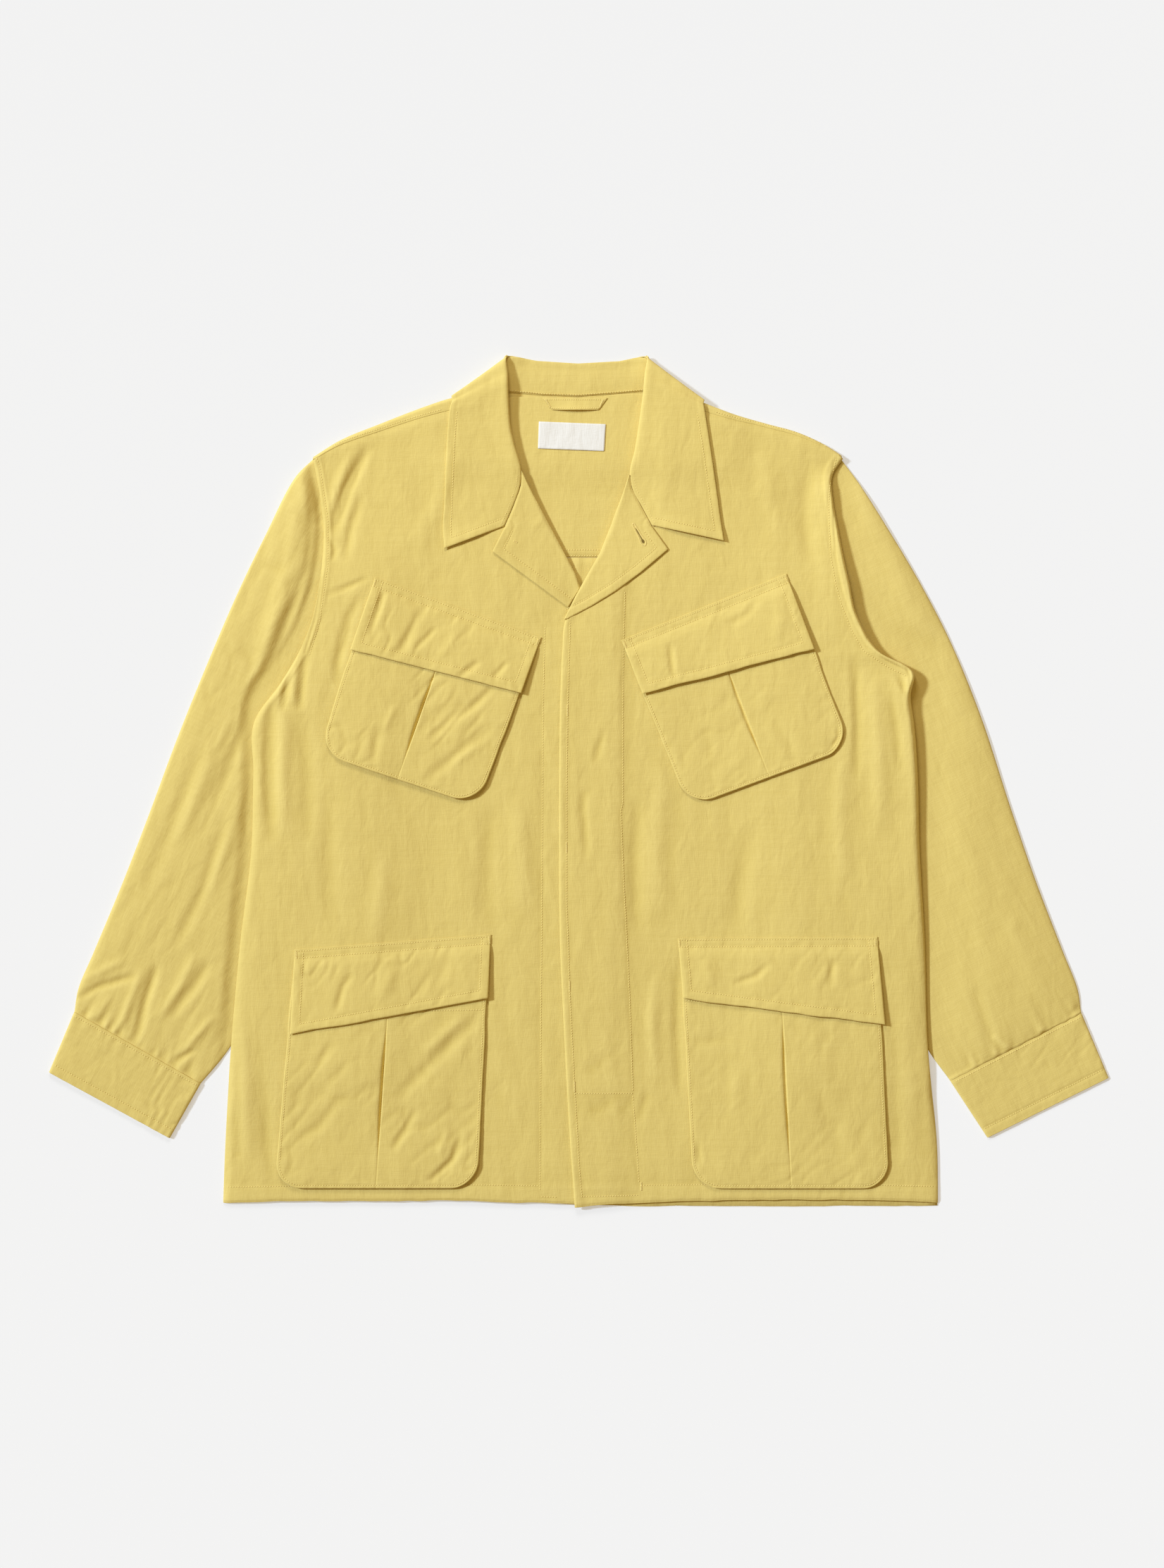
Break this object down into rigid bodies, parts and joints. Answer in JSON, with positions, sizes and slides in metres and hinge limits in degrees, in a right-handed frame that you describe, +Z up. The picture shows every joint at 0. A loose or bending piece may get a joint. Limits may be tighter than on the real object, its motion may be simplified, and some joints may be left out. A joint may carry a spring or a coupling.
{
  "type": "jungle jacket",
  "caption": "Long-sleeved jungle jacket laid flat, with notched collar, fly front, slanted pleated chest pockets, pleated hip pockets with flaps, and plain cuffs.",
  "frame": {"origin": "on the floor below the middle of the outline", "axes": "+X to the viewer's right, from cuff to cuff; +Y to the collar; +Z up from the floor"},
  "size_m": [0.9618, 0.7722, 0.0132],
  "materials": {
    "cotton": "matte slubbed plain weave, mustard yellow",
    "label": "matte woven tape, cream white, blank"
  },
  "bodies": {
    "root": {"back": "cotton", "yoke": "cotton", "front_right": "cotton", "front_left": "cotton", "facing_right": "cotton", "facing_left": "cotton", "collar_stand": "cotton", "collar_fall": "cotton", "sleeve_right": "cotton", "sleeve_left": "cotton", "cuff_right": "cotton", "cuff_left": "cotton", "pocket_chest_right": "cotton", "pocket_chest_left": "cotton", "pocket_hip_right": "cotton", "pocket_hip_left": "cotton", "gusset_chest_right": "cotton", "gusset_chest_left": "cotton", "gusset_hip_right": "cotton", "gusset_hip_left": "cotton", "flap_chest_right": "cotton", "flap_chest_left": "cotton", "flap_hip_right": "cotton", "flap_hip_left": "cotton", "hanger_loop": "cotton", "label": "label"}
  },
  "joints": []
}
